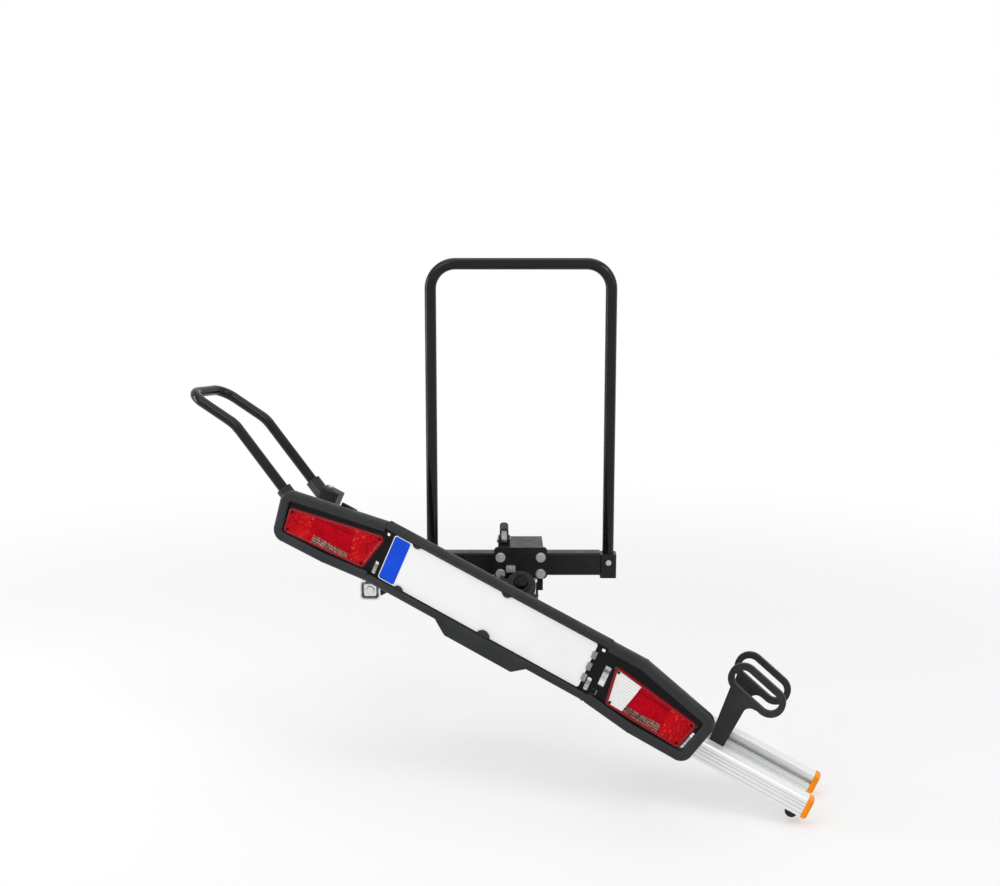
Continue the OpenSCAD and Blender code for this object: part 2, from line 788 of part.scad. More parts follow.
// rear-wheel holder on the front profile's channel side
module holder() {
  y0 = front_in + gap;
  y1 = front_in + 18;
  zs = rail_bot + slot_b;
  ring = [[holder_x + 61, 88], [holder_x - 10, 107]];
  ring_out = 34.5;
  ring_in = ring_out - ring_t;
  difference() {
    union() {
      along_y(y0, y1) soft_poly(ring, ring_out - 2);
      along_y(y0 + 2.5, y1 - 2.5) soft_poly(ring, ring_out);
      along_y(y0, y1 - 4) soft_poly([[holder_x - 9, rail_bot + 12], [holder_x + 9, rail_bot + 12],
        [holder_x + 16, 60], [holder_x - 22, 76]], 6);
      // hollow between the arm and the ring's underside
      along_y(y0, y1 - 4) difference() {
        polygon([[holder_x, 38], [holder_x + 38, 38], [holder_x + 43, 57], [holder_x + 36, 68],
          [holder_x, 74]]);
        translate([holder_x + 38, 39.6]) circle(17.6);
      }
      box([holder_x - 15, holder_x + 15], [front_in - 4, y0 + 1], [zs - slot_half + gap, zs + slot_half - gap]);
      box([holder_x - 15, holder_x + 15], [front_in - 10.4, front_in - 4.4], [zs - slot_half - 3.6, zs + slot_half + 3.6]);
      box([holder_x - 15, holder_x + 15], [front_in - 4.5, front_in - 3.9], [zs - slot_half + gap, zs + slot_half - gap]);
    }
    along_y(y0 - 1, y1 + 1) soft_poly(ring, ring_in);
    along_y(y1 - 2.5, y1 + 1) soft_poly(ring, ring_in + 2);
  }
}

module holder_front() {
  color([0.06, 0.06, 0.06]) swung() holder();
}

module holder_rear() {
  color([0.06, 0.06, 0.06]) swung() translate([0, 2*rail_y, 0]) mirror([0, 1, 0]) holder();
}

module holder_bolt() {
  translate([holder_x, front_in + 14, rail_bot + slot_b]) rotate([-90, 0, 0])
    cylinder(r = 13/sqrt(3), h = 5, $fn = 6);
}

module holder_bolt_front() {
  color([0.78, 0.79, 0.8]) swung() holder_bolt();
}

module holder_bolt_rear() {
  color([0.78, 0.79, 0.8]) swung() translate([0, 2*rail_y, 0]) mirror([0, 1, 0]) holder_bolt();
}

coupling_body();
clamp_jaw();
lever_pin();
coupling_lever();
lever_grip();
front_plate();
plate_bolts();
adjuster_nut();
pivot_bolt();
thrust_washer();
lock_pin();
beam_tubes();
arch_sleeves();
sleeve_bolts();
arch();
outrigger();
end_bracket();
end_bracket_core();
end_bracket_bolt();
swing_bracket();
bracket_bolts();
front_profile();
rear_profile();
channel_floor();
cross_plates();
cross_bolts();
end_caps();
rail_feet();
hoop();
hoop_clamps();
hoop_bolts();
board_brackets();
board_bolts();
board_frame();
lamp_carriers();
lamp_housings();
lens_red();
lens_amber();
lens_clear();
lens_screws();
number_plate();
plate_band();
plate_clips();
plate_stops();
holder_front();
holder_rear();
holder_bolt_front();
holder_bolt_rear();
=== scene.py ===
import bpy
import bmesh
import json
import math
from mathutils import Matrix, Vector


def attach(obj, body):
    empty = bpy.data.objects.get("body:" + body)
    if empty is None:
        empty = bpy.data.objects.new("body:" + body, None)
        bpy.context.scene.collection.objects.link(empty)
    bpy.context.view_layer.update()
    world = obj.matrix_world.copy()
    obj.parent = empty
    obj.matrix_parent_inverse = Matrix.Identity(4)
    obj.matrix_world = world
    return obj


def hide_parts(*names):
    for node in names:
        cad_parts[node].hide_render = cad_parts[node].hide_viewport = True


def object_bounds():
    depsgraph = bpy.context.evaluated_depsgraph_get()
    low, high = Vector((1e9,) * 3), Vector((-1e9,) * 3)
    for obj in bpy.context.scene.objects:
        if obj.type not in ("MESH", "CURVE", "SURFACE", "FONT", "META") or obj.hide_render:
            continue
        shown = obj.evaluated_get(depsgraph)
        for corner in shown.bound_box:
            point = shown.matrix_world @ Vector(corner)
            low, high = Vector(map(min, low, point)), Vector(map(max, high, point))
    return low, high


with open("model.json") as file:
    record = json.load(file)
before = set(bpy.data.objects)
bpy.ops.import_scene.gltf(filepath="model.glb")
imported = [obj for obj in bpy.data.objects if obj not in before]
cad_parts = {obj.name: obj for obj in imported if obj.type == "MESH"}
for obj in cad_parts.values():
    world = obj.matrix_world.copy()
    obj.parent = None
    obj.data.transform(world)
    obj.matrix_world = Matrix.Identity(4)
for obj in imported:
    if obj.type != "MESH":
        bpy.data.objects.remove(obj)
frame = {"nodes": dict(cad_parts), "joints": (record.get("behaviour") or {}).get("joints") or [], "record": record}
cad_lo, cad_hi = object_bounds()
NODE = frame["nodes"]
scene = bpy.context.scene
scene.view_settings.view_transform = "Standard"

# The carriage is drawn level and swung down about its inclined hinge. Level coordinates are in metres:
# X along the rail, Y to the car and Z up, with the middle of the number plate at X = 0, Z = 0.
swing = next(j for j in frame["joints"] if j["name"] == "swing")
to_hinge = Matrix.Translation(swing["pos_m"])
turn_down = Matrix.Rotation(-math.radians(swing["range_deg"][1]), 4, Vector(swing["axis"]))
SWUNG = to_hinge @ turn_down @ to_hinge.inverted()
LEVEL = SWUNG.inverted()

# Aluminium profiles: lower edge, height, where grooves start as shares of it, and half a groove's width
RAIL_BOTTOM = -0.095
PROFILE_HEIGHT = 0.045
GROOVES = (0.18, 0.38, 0.56, 0.72)
GROOVE_HALF = 0.00085

# level Y, 1 mm before the front of the light board
BEFORE_BOARD = -0.410

# Lamps: X is counted outwards from the seam between the middle of the light board and a lamp carrier
SEAM = 0.286
RIGHT, LEFT = 1, -1
# centres of the rounded corners of each lens as X and Z, anticlockwise, and their radius
LENS_CORNERS = {
    RIGHT: ((0.051, -0.048), (0.216, -0.056), (0.228, -0.006), (0.041, 0.022)),
    LEFT: ((0.022, -0.043), (0.219, -0.056), (0.223, -0.014), (0.003, 0.029)),
}
LENS_R = 0.009
# level Y of the top of the bead, of the fields inside it and of the back, and how far fields stay inside
LENS_TOP = -0.4064
LENS_FIELD = -0.4050
LENS_BACK = -0.3985
FIELD_INSET = 0.0022
# ridge along a red field: one point at the foot of its slope, its fall outwards and the width of the slope
RIDGE_X = 0.110
RIDGE_Z = 0.004
RIDGE_FALL = 0.08
RIDGE_SLOPE = 0.0025
# ribbed strips at the lower edge, and the clear inner end of the right lamp
STRIPS = {RIGHT: (0.080, 0.169), LEFT: (0.059, 0.154)}
STRIP_TOP = -0.038
CLEAR_END = 0.082
CLEAR_BEND_Z = -0.055
CLEAR_LEAN = 16/70
# fields of small pyramids: both lamps have an outer one, the left lamp also an inner one
OUTER_PRISMS = {RIGHT: 0.174, LEFT: 0.166}
INNER_PRISMS = 0.062
INNER_LEAN = 0.2
# distances from the middle of the plate at which the painted glints of the pyramids gather most
GLINT_PLACES = (0.462, 0.336)


# Materials

class Nodes:
    """A material under construction: short names for the nodes used here."""

    def __init__(self, name, level=False):
        self.mat = bpy.data.materials.new(name)
        self.mat.use_nodes = True
        self.tree = self.mat.node_tree
        self.tree.nodes.clear()
        self.out = self.tree.nodes.new("ShaderNodeOutputMaterial")
        self.bsdf = self.tree.nodes.new("ShaderNodeBsdfPrincipled")
        self.link(self.bsdf.outputs[0], self.out.inputs[0])
        self.coords = self.tree.nodes.new("ShaderNodeTexCoord").outputs["Object"]
        if level:
            self.coords = self.mapped(Location=LEVEL.to_translation(), Rotation=LEVEL.to_euler())

    def link(self, a, b):
        self.tree.links.new(a, b)

    def feed(self, socket, value):
        """Links a node's output to a socket, or sets a number or colour on it."""
        if hasattr(value, "is_output"):
            self.link(value, socket)
        elif hasattr(value, "__len__"):
            socket.default_value = (*value, 1)
        else:
            socket.default_value = value

    def set(self, **values):
        """The same value all over the surface."""
        for name, value in values.items():
            self.bsdf.inputs[name.replace("_", " ")].default_value = value

    def to(self, **outputs):
        """A value that varies over the surface."""
        for name, output in outputs.items():
            self.link(output, self.bsdf.inputs[name.replace("_", " ")])

    def mapped(self, **values):
        n = self.tree.nodes.new("ShaderNodeMapping")
        self.link(self.coords, n.inputs[0])
        for name, value in values.items():
            n.inputs[name].default_value = value
        return n.outputs[0]

    def noise(self, scale, detail=2.0, rough=0.5, at=None):
        n = self.tree.nodes.new("ShaderNodeTexNoise")
        self.link(at or self.coords, n.inputs["Vector"])
        n.inputs["Scale"].default_value = scale
        n.inputs["Detail"].default_value = detail
        n.inputs["Roughness"].default_value = rough
        return n.outputs[0]

    def cells(self, scale):
        n = self.tree.nodes.new("ShaderNodeTexVoronoi")
        self.link(self.coords, n.inputs["Vector"])
        n.inputs["Scale"].default_value = scale
        return n.outputs["Distance"]

    def part(self, letter):
        n = self.tree.nodes.new("ShaderNodeSeparateXYZ")
        self.link(self.coords, n.inputs[0])
        return n.outputs[letter]

    def corners(self, metres):
        """Mask for painted shade from ambient occlusion: 1 in tight inner corners, 0 on open faces."""
        n = self.tree.nodes.new("ShaderNodeAmbientOcclusion")
        n.inputs["Distance"].default_value = metres
        n.samples = 8
        return self.ramp(n.outputs["AO"], (0.35, 1.0), (0.85, 0.0))

    def ramp(self, value, *stops):
        """Each stop is a place from 0 to 1 with a colour or a grey level."""
        n = self.tree.nodes.new("ShaderNodeValToRGB")
        self.link(value, n.inputs[0])
        elements = n.color_ramp.elements
        while len(elements) < len(stops):
            elements.new(0.5)
        for element, (place, c) in zip(elements, stops):
            element.position = place
            element.color = (*c, 1) if hasattr(c, "__len__") else (c, c, c, 1)
        return n.outputs[0]

    def ramp_over(self, reach, value, *stops):
        """A ramp over a length: the places of its stops are metres from 0 to reach."""
        share = self.maths("DIVIDE", value, reach)
        return self.ramp(share, *((place/reach, c) for place, c in stops))

    def mix(self, share, a, b):
        n = self.tree.nodes.new("ShaderNodeMix")
        n.data_type = "RGBA"
        for socket, value in zip((n.inputs[0], n.inputs[6], n.inputs[7]), (share, a, b)):
            self.feed(socket, value)
        return n.outputs[2]

    def maths(self, operation, a, b=0.0):
        n = self.tree.nodes.new("ShaderNodeMath")
        n.operation = operation
        for socket, value in zip(n.inputs, (a, b)):
            self.feed(socket, value)
        return n.outputs[0]

    def distance(self, a, b):
        return self.maths("ABSOLUTE", self.maths("SUBTRACT", a, b))

    def bump(self, *layers):
        """Each layer is a height, a strength and a distance in metres."""
        normal = None
        for height, strength, metres in layers:
            n = self.tree.nodes.new("ShaderNodeBump")
            n.inputs["Strength"].default_value = strength
            n.inputs["Distance"].default_value = metres
            self.link(height, n.inputs["Height"])
            if normal:
                self.link(normal, n.inputs["Normal"])
            normal = n.outputs[0]
        self.link(normal, self.bsdf.inputs["Normal"])


def painted(name, dark, light, rough, peel, gloss):
    """Lacquer or powder coat with a fine orange peel."""
    n = Nodes(name)
    n.set(Specular_IOR_Level=gloss)
    n.to(Base_Color=n.ramp(n.noise(scale=7, detail=5), (0.35, dark), (0.7, light)),
         Roughness=n.ramp(n.noise(scale=38, detail=4), (0.3, rough[0]), (0.75, rough[1])))
    n.bump((n.noise(scale=1100), peel, 0.0002), (n.noise(scale=190, detail=3), 0.25*peel, 0.0006))
    return n.mat


def plated(name, dark, light, rough, grain, metal=1.0):
    """Plated or bare metal, with shade painted darker into its inner corners."""
    n = Nodes(name)
    n.set(Metallic=metal)
    c = n.ramp(n.noise(scale=120, detail=4), (0.3, dark), (0.7, light))
    # painted shade: ambient occlusion darkens the colour in inner corners
    c = n.mix(n.corners(0.004), c, tuple(0.2*v for v in dark))
    n.to(Base_Color=c, Roughness=n.ramp(n.cells(420), (0.1, rough[0]), (0.8, rough[1])))
    n.bump((n.noise(scale=2200), grain, 0.0001))
    return n.mat


def moulded(name, dark, light, rough, grain, cells=1500, gloss=0.5):
    """Plastic or rubber with a moulded grain; cells counts the grains in a metre."""
    n = Nodes(name)
    n.set(Specular_IOR_Level=gloss)
    n.to(Base_Color=n.ramp(n.noise(scale=16, detail=5), (0.3, dark), (0.72, light)),
         Roughness=n.ramp(n.noise(scale=60, detail=4), (0.3, rough[0]), (0.7, rough[1])))
    n.bump((n.cells(cells), grain, 0.00025), (n.noise(scale=260, detail=3), 0.06, 0.0006))
    return n.mat


def anodised():
    """Extruded aluminium: streaks along the rail, and painted shade of varying strength in the grooves of the
    outer faces.
    """
    n = Nodes("anodised", level=True)
    n.set(Metallic=0.3, Specular_IOR_Level=0.5)
    streak = n.noise(scale=1, detail=4, rough=0.6, at=n.mapped(Scale=(3, 900, 900)))
    streaky = n.ramp(streak, (0.2, (0.79, 0.805, 0.795)), (0.8, (0.87, 0.88, 0.87)))
    c = n.mix(n.noise(scale=5, detail=3), streaky, (0.82, 0.835, 0.825))
    # painted shade: dark lines at the heights of the grooves, their strength varied by noise
    groove = None
    for share in GROOVES:
        off = n.distance(n.part("Z"), RAIL_BOTTOM + share*PROFILE_HEIGHT + GROOVE_HALF)
        line = n.ramp_over(0.001, off, (0.00055, 1.0), (0.00095, 0.0))
        groove = line if groove is None else n.maths("MAXIMUM", groove, line)
    groove_shade_strength = n.ramp(n.noise(scale=9, detail=3), (0.3, 0.35), (0.7, 0.6))
    c = n.mix(n.maths("MULTIPLY", groove, groove_shade_strength), c, (0.30, 0.315, 0.305))
    n.to(Base_Color=c, Roughness=n.ramp(streak, (0.2, 0.34), (0.8, 0.46)))
    n.bump((streak, 0.10, 0.0002), (n.noise(scale=900), 0.04, 0.0002))
    return n.mat


def rib_shade_lines(n, pitch, depth):
    """Painted shade of the ribs: lines along the lens, a little inclined."""
    across = n.maths("ADD", n.part("Z"), n.maths("MULTIPLY", n.part("X"), RIDGE_FALL))
    wave = n.maths("PINGPONG", across, pitch/2)
    return n.ramp(n.maths("DIVIDE", wave, pitch/2), (0.1, depth), (0.5, 0.0))


def ridge_shade_line(n):
    """Painted shade: a dark line on the slope of the ridge of both lenses."""
    outwards = n.maths("SUBTRACT", n.maths("ABSOLUTE", n.part("X")), SEAM + RIDGE_X)
    foot = n.maths("SUBTRACT", RIDGE_Z, n.maths("MULTIPLY", outwards, RIDGE_FALL))
    off = n.distance(n.part("Z"), n.maths("ADD", foot, 0.4*RIDGE_SLOPE))
    return n.ramp(n.maths("DIVIDE", off, RIDGE_SLOPE), (0.25, 0.75), (0.75, 0.0))


def lens(name, deep, mid, bright, glint, cell, spread, amount,
         gloss=0.12, ribs=None, ridge=False, places=None):
    """Moulded lens with cells of a size in metres and clusters of painted glints.

    spread is the share of the cells in the colour, and amount is the strength of the painted glints. ribs
    gives the pitch, depth and colour of painted shade lines along the lens. places are the distances from
    the middle of the plate at which the painted glints gather; the pyramids are painted brighter there."""
    n = Nodes(name, level=True)
    n.set(Specular_IOR_Level=gloss)
    small = n.cells(1/cell)
    cloud = n.maths("MULTIPLY", n.noise(scale=38, detail=4, rough=0.6), 0.6)
    tone = n.maths("ADD", n.maths("MULTIPLY", small, spread), cloud)
    c = n.ramp(tone, (0.34, deep), (0.56, mid), (0.82, bright))
    # painted shade: dark lines for the ribs
    if ribs:
        pitch, depth, dark = ribs
        c = n.mix(rib_shade_lines(n, pitch, depth), c, dark)
    # painted shade: a dark line on the slope of the ridge
    if ridge:
        c = n.mix(ridge_shade_line(n), c, (0.09, 0.0, 0.002))
    # painted light: near the places the pyramids are painted brighter, and the painted glints gather there
    if places:
        outwards = n.maths("ABSOLUTE", n.part("X"))
        across = n.maths("MINIMUM", *(n.distance(outwards, x) for x in places))
        near = n.ramp_over(0.05, across, (0.0075, 1.0), (0.0375, 0.15))
        gather = n.maths("MULTIPLY", near, n.ramp(n.noise(scale=24), (0.40, 0.15), (0.58, 1.0)))
        c = n.mix(n.maths("MULTIPLY", near, 0.30), c, bright)
    else:
        gather = n.ramp(n.noise(scale=30), (0.50, 0.06), (0.64, 1.0))
    # painted glints: small spots of reflected light, in clusters
    painted_glint_spots = n.ramp(n.noise(scale=170, detail=3, rough=0.65), (0.57, 0.0), (0.70, amount))
    c = n.mix(n.maths("MULTIPLY", painted_glint_spots, gather), c, glint)
    n.to(Base_Color=c, Roughness=n.ramp(small, (0.1, 0.14), (0.8, 0.26)))
    n.bump((small, 0.2, 0.0004), (n.noise(scale=900), 0.05, 0.0002))
    return n.mat


def board():
    """Dark grey grained moulding, with shade painted nearly black on the floor of its pockets."""
    n = Nodes("board_plastic", level=True)
    # painted shade: at the depth of the pocket floors the colour goes nearly black
    depth = n.maths("SUBTRACT", n.part("Y"), BEFORE_BOARD)
    deep = n.ramp_over(0.02, depth, (0.0062, 0.0), (0.0092, 1.0), (0.0125, 1.0), (0.0140, 0.2))
    grain = n.noise(scale=1700, rough=0.6)
    c = n.ramp(n.noise(scale=11, detail=4), (0.3, (0.022, 0.0235, 0.0245)), (0.7, (0.033, 0.035, 0.0365)))
    c = n.mix(n.ramp(grain, (0.55, 0.0), (0.8, 0.3)), c, (0.055, 0.057, 0.06))
    c = n.mix(n.maths("MULTIPLY", deep, 0.95), c, (0.002, 0.002, 0.0025))
    n.set(Specular_IOR_Level=0.14)
    n.to(Base_Color=c, Roughness=n.ramp(n.noise(scale=60, detail=3), (0.3, 0.36), (0.7, 0.5)))
    n.bump((grain, 0.16, 0.0003), (n.noise(scale=420), 0.06, 0.0003))
    return n.mat


# one material for each slot of the record
MAT = {
    "black_steel": painted("powder_black", dark=(0.006, 0.006, 0.007), light=(0.014, 0.014, 0.015),
                           rough=(0.36, 0.5), peel=0.18, gloss=0.25),
    "gloss_black_tube": painted("gloss_black", dark=(0.003, 0.003, 0.004), light=(0.006, 0.006, 0.007),
                                rough=(0.12, 0.17), peel=0.006, gloss=0.24),
    "zinc_steel": plated("bright_zinc", dark=(0.68, 0.70, 0.71), light=(0.80, 0.81, 0.82),
                         rough=(0.24, 0.34), grain=0.05, metal=0.6),
    "cast_steel": plated("cast_steel", dark=(0.20, 0.21, 0.22), light=(0.36, 0.37, 0.38),
                         rough=(0.4, 0.56), grain=0.3),
    "bronze": plated("bronze", dark=(0.42, 0.29, 0.12), light=(0.62, 0.46, 0.22),
                     rough=(0.28, 0.42), grain=0.12),
    "black_zinc": plated("black_zinc", dark=(0.008, 0.008, 0.009), light=(0.022, 0.022, 0.023),
                         rough=(0.35, 0.5), grain=0.2),
    "anodised_aluminium": anodised(),
    "orange_plastic": moulded("orange_plastic", dark=(0.88, 0.25, 0.0), light=(1.0, 0.32, 0.002),
                              rough=(0.34, 0.46), grain=0.05, gloss=0.2),
    "black_rubber": moulded("black_rubber", dark=(0.008, 0.008, 0.008), light=(0.02, 0.02, 0.02),
                            rough=(0.6, 0.8), grain=0.25, cells=900, gloss=0.25),
    "board_plastic": board(),
    "grey_plastic": moulded("grey_plastic", dark=(0.17, 0.175, 0.18), light=(0.30, 0.31, 0.32),
                            rough=(0.28, 0.4), grain=0.06, cells=1700),
    "lamp_black": moulded("lamp_black", dark=(0.006, 0.006, 0.007), light=(0.014, 0.014, 0.015),
                          rough=(0.4, 0.55), grain=0.1, cells=1700, gloss=0.3),
    "holder_plastic": moulded("holder_plastic", dark=(0.012, 0.012, 0.013), light=(0.026, 0.026, 0.027),
                              rough=(0.5, 0.65), grain=0.25, cells=1300, gloss=0.3),
    "white_plate": moulded("white_plate", dark=(0.868, 0.874, 0.877), light=(0.905, 0.905, 0.905),
                           rough=(0.3, 0.42), grain=0.04, cells=2400),
    "blue_band": moulded("blue_band", dark=(0.002, 0.055, 0.60), light=(0.004, 0.085, 0.76),
                         rough=(0.28, 0.38), grain=0.04, cells=2400, gloss=0.15),
    # glint is the colour of the painted glints of each lens
    "lens_red": lens("lens_red", deep=(0.34, 0.0, 0.006), mid=(0.50, 0.0, 0.009),
                     bright=(0.66, 0.001, 0.014), glint=(0.75, 0.01, 0.02), cell=0.006, spread=0.25,
                     amount=0.2, gloss=0.05, ridge=True),
    "lens_amber": lens("lens_amber", deep=(0.045, 0.012, 0.010), mid=(0.16, 0.065, 0.05),
                       bright=(0.44, 0.27, 0.22), glint=(1.0, 0.36, 0.02), cell=0.003, spread=0.6,
                       amount=0.9, ribs=(0.0058, 0.85, (0.025, 0.006, 0.007))),
    "lens_clear": lens("lens_clear", deep=(0.86, 0.855, 0.85), mid=(0.90, 0.895, 0.89),
                       bright=(0.93, 0.93, 0.925), glint=(0.95, 0.95, 0.95), cell=0.006, spread=0.25,
                       amount=0.3, ribs=(0.0062, 0.45, (0.50, 0.49, 0.49))),
}
# two more for the pyramids and the bead of the red lenses
PRISMS = lens("lens_prisms", deep=(0.17, 0.0, 0.004), mid=(0.40, 0.0, 0.007), bright=(0.66, 0.004, 0.010),
              glint=(1.0, 0.20, 0.015), cell=0.0034, spread=0.5, amount=0.85, gloss=0.06,
              places=GLINT_PLACES)
EDGE = lens("lens_edge", deep=(0.24, 0.001, 0.008), mid=(0.34, 0.002, 0.012), bright=(0.44, 0.004, 0.016),
            glint=(0.5, 0.01, 0.02), cell=0.006, spread=0.25, amount=0.2, gloss=0.22)

for subpart in frame["record"]["subparts"]:
    materials = NODE[subpart["node"]].data.materials
    materials.clear()
    materials.append(MAT[subpart["material_slot"]])


# Lamp lenses: moulded fields inside a raised bead

def rounded(corners, r, steps=7):
    """Convex outline with corners of radius r, listed anticlockwise."""
    points = []
    for k, c in enumerate(corners):
        before, after = corners[k - 1], corners[(k + 1) % len(corners)]
        start = math.atan2(c[1] - before[1], c[0] - before[0]) - math.pi/2
        turn = (math.atan2(after[1] - c[1], after[0] - c[0]) - math.pi/2 - start) % (2*math.pi)
        for step in range(steps + 1):
            angle = start + turn*step/steps
            points.append((c[0] + r*math.cos(angle), c[1] + r*math.sin(angle)))
    return points


def inside(outline, x, z):
    sides = zip(outline, outline[1:] + outline[:1])
    return all((b[0] - a[0])*(z - a[1]) - (b[1] - a[1])*(x - a[0]) >= 0 for a, b in sides)


def placed(side, x, y, z):
    return SWUNG @ Vector((side*(SEAM + x), y, z))


def ring_sweep(bm, side, section, material):
    """A closed ring round a lens; section lists its inset from the outline and its level Y."""
    rings = []
    for inset, y in section:
        outline = rounded(LENS_CORNERS[side], LENS_R - inset)
        rings.append([bm.verts.new(placed(side, x, y, z)) for x, z in outline])
    for a, b in zip(rings, rings[1:] + rings[:1]):
        for k in range(len(a)):
            bm.faces.new((a[k - 1], a[k], b[k], b[k - 1])).material_index = material


def field(bm, side, keep, height, step, material=lambda x, z: 0):
    """A closed slab under the bead: its front follows height(x, z), its back is flat."""
    edge = rounded(LENS_CORNERS[side], LENS_R - FIELD_INSET)
    low_x, high_x = min(x for x, z in edge), max(x for x, z in edge)
    low_z, high_z = min(z for x, z in edge), max(z for x, z in edge)
    front, back, squares = {}, {}, set()

    def at(i, k):
        return low_x + i*step, low_z + k*step

    for i in range(round((high_x - low_x)/step) + 1):
        for k in range(round((high_z - low_z)/step) + 1):
            x, z = at(i + 0.5, k + 0.5)
            if inside(edge, x, z) and keep(x, z):
                squares.add((i, k))
    for i, k in sorted(squares):
        for c in ((i, k), (i + 1, k), (i + 1, k + 1), (i, k + 1)):
            if c not in front:
                x, z = at(*c)
                front[c] = bm.verts.new(placed(side, x, LENS_FIELD - height(x, z), z))
                back[c] = bm.verts.new(placed(side, x, LENS_BACK, z))
    for i, k in sorted(squares):
        square = ((i, k), (i + 1, k), (i + 1, k + 1), (i, k + 1))
        neighbours = ((i, k - 1), (i + 1, k), (i, k + 1), (i - 1, k))
        number = material(*at(i + 0.5, k + 0.5))
        bm.faces.new([front[c] for c in square]).material_index = number
        bm.faces.new([back[c] for c in reversed(square)]).material_index = number
        for a, b, near in zip(square, square[1:] + square[:1], neighbours):
            if near not in squares:
                bm.faces.new((front[b], front[a], back[a], back[b])).material_index = number


def zigzag(v, pitch):
    """From 1 down to 0 and up again in each pitch."""
    return abs((v/pitch) % 1 - 0.5)*2


def pyramids(x, z, pitch=0.005, tall=0.0007):
    return tall*(1 - max(zigzag(x + z, pitch), zigzag(x - z, pitch)))


def is_clear(side, x, z):
    return side == RIGHT and x < CLEAR_END + CLEAR_LEAN*max(0, z - CLEAR_BEND_Z)


def is_strip(side, x, z):
    start, end = STRIPS[side]
    return z < STRIP_TOP and start < x < end and not is_clear(side, x, z)


def is_red(side, x, z):
    return not is_clear(side, x, z) and not is_strip(side, x, z)


def is_prism(side, x, z):
    return x > OUTER_PRISMS[side] or (side == LEFT and x < INNER_PRISMS + INNER_LEAN*z)


def red_height(side, x, z, step=0.0009, rib=0.00012, pitch=0.0025):
    """Pyramids at the ends; between them a step up at the ridge, and fine upright ribs."""
    if is_prism(side, x, z):
        return pyramids(x, z)
    above = z - (RIDGE_Z - RIDGE_FALL*(x - RIDGE_X))
    return step*min(1, max(0, above/RIDGE_SLOPE)) + rib*zigzag(x, pitch)


def strip_height(x, z, tall=0.0006, pitch=0.003):
    """Ribs along the strip."""
    return tall*zigzag(z, pitch)


def clear_height(x, z, tall=0.0005, pitch=0.004):
    """Ribs that fall outwards like the ridge."""
    return tall*zigzag(z + RIDGE_FALL*x, pitch)


def lens_piece(node, bm, materials):
    """A moulding that stands for a lens node, which it hides, and rides on the carriage."""
    name = node + "_moulding"
    mesh = bpy.data.meshes.new(name)
    bmesh.ops.recalc_face_normals(bm, faces=bm.faces)
    bm.to_mesh(mesh)
    bm.free()
    for m in materials:
        mesh.materials.append(m)
    o = bpy.data.objects.new(name, mesh)
    scene.collection.objects.link(o)
    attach(o, "carriage")
    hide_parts(node)


# sections as inset and level Y: the bead, and a black lip as painted shade in the gap between a lens and its ledge
SHOULDER = -0.4059
BEAD = ((0, LENS_BACK), (0, LENS_FIELD), (0.0004, SHOULDER), (0.0013, LENS_TOP), (0.0044, LENS_TOP),
        (0.0052, SHOULDER), (0.0056, LENS_FIELD), (0.0056, LENS_BACK))
SHADE_LIP_OUT, SHADE_LIP_IN = -0.0028, 0.0003
SHADE_LIP_FRONT = LENS_BACK - 0.0012
SHADE_LIP = ((SHADE_LIP_OUT, LENS_BACK), (SHADE_LIP_OUT, SHADE_LIP_FRONT), (SHADE_LIP_IN, SHADE_LIP_FRONT), (SHADE_LIP_IN, LENS_BACK))
RED_STEP, FINE_STEP = 0.00125, 0.0010
# order of the materials on the red moulding
ON_PLAIN, ON_PRISMS, ON_BEAD, ON_SHADE_LIP = range(4)

red, amber, clear = bmesh.new(), bmesh.new(), bmesh.new()
for side in LENS_CORNERS:
    ring_sweep(red, side, BEAD, ON_BEAD)
    # painted shade: a black sheet in the gap round each lens
    ring_sweep(red, side, SHADE_LIP, ON_SHADE_LIP)
    field(red, side, lambda x, z: is_red(side, x, z), lambda x, z: red_height(side, x, z), RED_STEP,
          lambda x, z: ON_PRISMS if is_prism(side, x, z) else ON_PLAIN)
    field(amber, side, lambda x, z: is_strip(side, x, z), strip_height, FINE_STEP)
field(clear, RIGHT, lambda x, z: is_clear(RIGHT, x, z), clear_height, FINE_STEP)
lens_piece("lens_red", red, [MAT["lens_red"], PRISMS, EDGE, MAT["lamp_black"]])
lens_piece("lens_amber", amber, [MAT["lens_amber"]])
lens_piece("lens_clear", clear, [MAT["lens_clear"]])


# Small rounded edges, as moulded, bent or painted

def softened(node, width):
    o = NODE[node]
    weld = o.modifiers.new("weld", "WELD")
    weld.merge_threshold = 0.00002
    bevel = o.modifiers.new("edges", "BEVEL")
    bevel.width = width
    bevel.segments = 2
    bevel.limit_method = "ANGLE"
    bevel.angle_limit = math.radians(32)
    bevel.harden_normals = True


# radius in metres and the nodes that have it
EDGES = {
    0.0022: ("holder_front", "holder_rear"),
    0.0020: ("coupling_body",),
    0.0015: ("outrigger",),
    0.0012: ("end_caps", "front_plate", "swing_bracket", "hoop_clamps", "coupling_lever"),
    0.0010: ("arch_sleeves", "end_bracket_core", "cross_plates", "board_brackets"),
    0.0008: ("board_frame", "plate_clips", "end_bracket"),
    0.0006: ("adjuster_nut", "plate_bolts", "clamp_jaw", "lamp_housings"),
    0.0003: ("front_profile", "rear_profile"),
}
for width, nodes in EDGES.items():
    for node in nodes:
        softened(node, width)


# Floor, world, lamps and camera

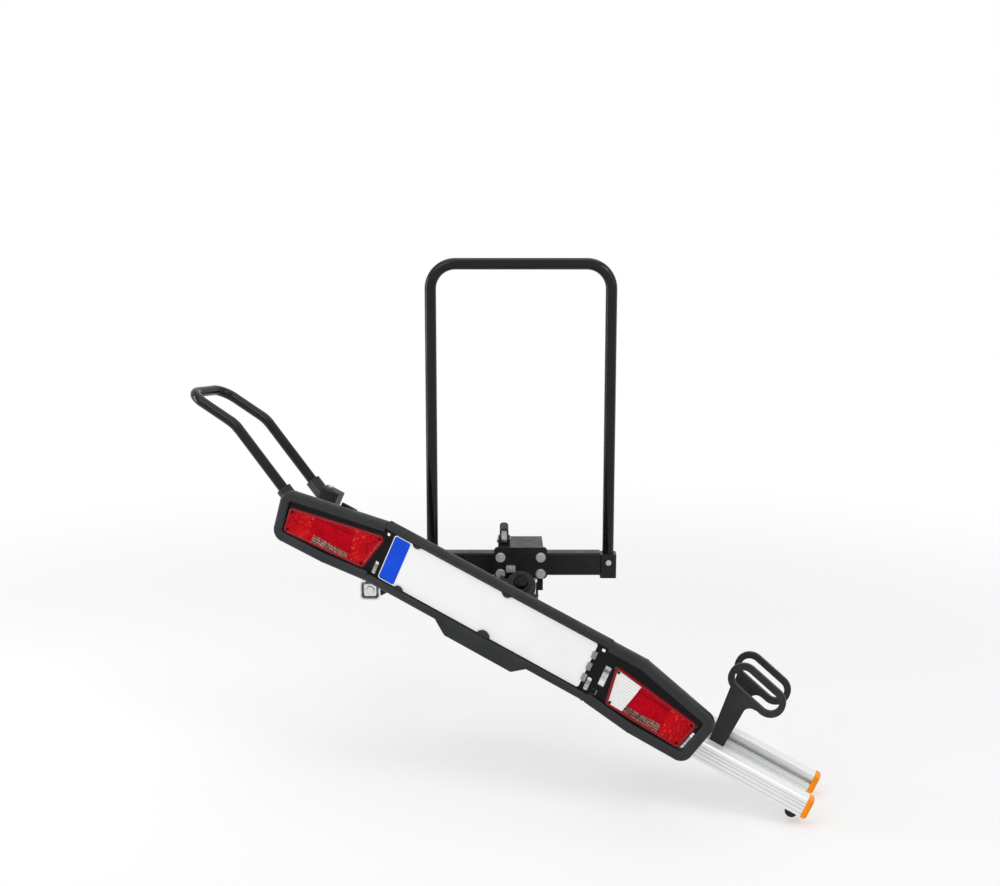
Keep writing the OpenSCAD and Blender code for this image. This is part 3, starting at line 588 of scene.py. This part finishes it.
def floor_material():
    """Pale floor that fades into the white backdrop with the distance from the object."""
    n = Nodes("floor")
    n.set(Base_Color=(0.86, 0.86, 0.855, 1), Roughness=0.6)
    glow = n.tree.nodes.new("ShaderNodeEmission")
    glow.inputs["Color"].default_value = (1, 1, 1, 1)
    glow.inputs["Strength"].default_value = 1.0
    away = n.tree.nodes.new("ShaderNodeVectorMath")
    away.operation = "LENGTH"
    n.link(n.coords, away.inputs[0])
    fade = n.tree.nodes.new("ShaderNodeMapRange")
    fade.interpolation_type = "SMOOTHSTEP"
    fade.inputs["From Min"].default_value = 0.7
    fade.inputs["From Max"].default_value = 3.4
    fade.inputs["To Min"].default_value = 0.42
    n.link(away.outputs["Value"], fade.inputs["Value"])
    blend = n.tree.nodes.new("ShaderNodeMixShader")
    n.link(fade.outputs[0], blend.inputs[0])
    n.link(n.bsdf.outputs[0], blend.inputs[1])
    n.link(glow.outputs[0], blend.inputs[2])
    n.link(blend.outputs[0], n.out.inputs[0])
    return n.mat


ground = cad_lo.z
FLOOR_HALF = 30
floor_mesh = bpy.data.meshes.new("floor")
floor_corners = [(FLOOR_HALF*x, FLOOR_HALF*y, ground) for x, y in ((-1, -1), (1, -1), (1, 1), (-1, 1))]
floor_mesh.from_pydata(floor_corners, [], [(0, 1, 2, 3)])
floor = bpy.data.objects.new("floor", floor_mesh)
scene.collection.objects.link(floor)
floor_mesh.materials.append(floor_material())


def backdrop(tree, strength):
    n = tree.nodes.new("ShaderNodeBackground")
    n.inputs["Color"].default_value = (1, 1, 1, 1)
    n.inputs["Strength"].default_value = strength
    return n.outputs[0]


def studio_world():
    """White to the eye and in mirrors and glass, a plain level of light for all else."""
    world = bpy.data.worlds.new("studio")
    world.use_nodes = True
    tree = world.node_tree
    tree.nodes.clear()
    path = tree.nodes.new("ShaderNodeLightPath")
    seen = backdrop(tree, 1.0)
    shown = backdrop(tree, 0.62)
    for ray in ("Is Glossy Ray", "Is Transmission Ray", "Is Camera Ray"):
        mix = tree.nodes.new("ShaderNodeMixShader")
        tree.links.new(path.outputs[ray], mix.inputs[0])
        tree.links.new(shown, mix.inputs[1])
        tree.links.new(seen, mix.inputs[2])
        shown = mix.outputs[0]
    tree.links.new(shown, tree.nodes.new("ShaderNodeOutputWorld").inputs[0])
    return world


scene.world = studio_world()


def softbox(name, place, aim, size, watts):
    lamp = bpy.data.lights.new(name, "AREA")
    lamp.shape = "RECTANGLE"
    lamp.size, lamp.size_y = size
    lamp.energy = watts
    o = bpy.data.objects.new(name, lamp)
    o.location = place
    o.rotation_euler = (Vector(aim) - Vector(place)).to_track_quat("-Z", "Y").to_euler()
    scene.collection.objects.link(o)


softbox("key", place=(-1.6, -2.2, 2.9), aim=(0, -0.3, 0), size=(2.0, 2.0), watts=27)
softbox("fill", place=(2.6, -2.0, 1.8), aim=(0.1, -0.3, -0.1), size=(1.6, 2.2), watts=13)
softbox("top", place=(0.0, 0.3, 3.2), aim=(0, -0.2, 0), size=(3.0, 2.0), watts=22)
# narrow strips: the lines of light on tubes and rounded edges
softbox("strip_left", place=(-2.3, -0.1, 0.6), aim=(-0.2, -0.2, 0.3), size=(0.40, 1.6), watts=16)
softbox("strip_right", place=(1.7, -1.6, 2.1), aim=(-0.4, -0.2, 0.1), size=(1.4, 0.30), watts=11)

# behind the car, a little higher than the arch and looking down by about ten degrees
LOOKING_DOWN = math.radians(9.77)
view = bpy.data.cameras.new("camera")
view.lens = 48.19
view.sensor_width = 36
view.clip_end = 200
camera = bpy.data.objects.new("camera", view)
camera.location = (-0.0503, -3.263, 0.890)
camera.rotation_euler = (math.radians(90) - LOOKING_DOWN, 0, 0)
scene.collection.objects.link(camera)
scene.camera = camera
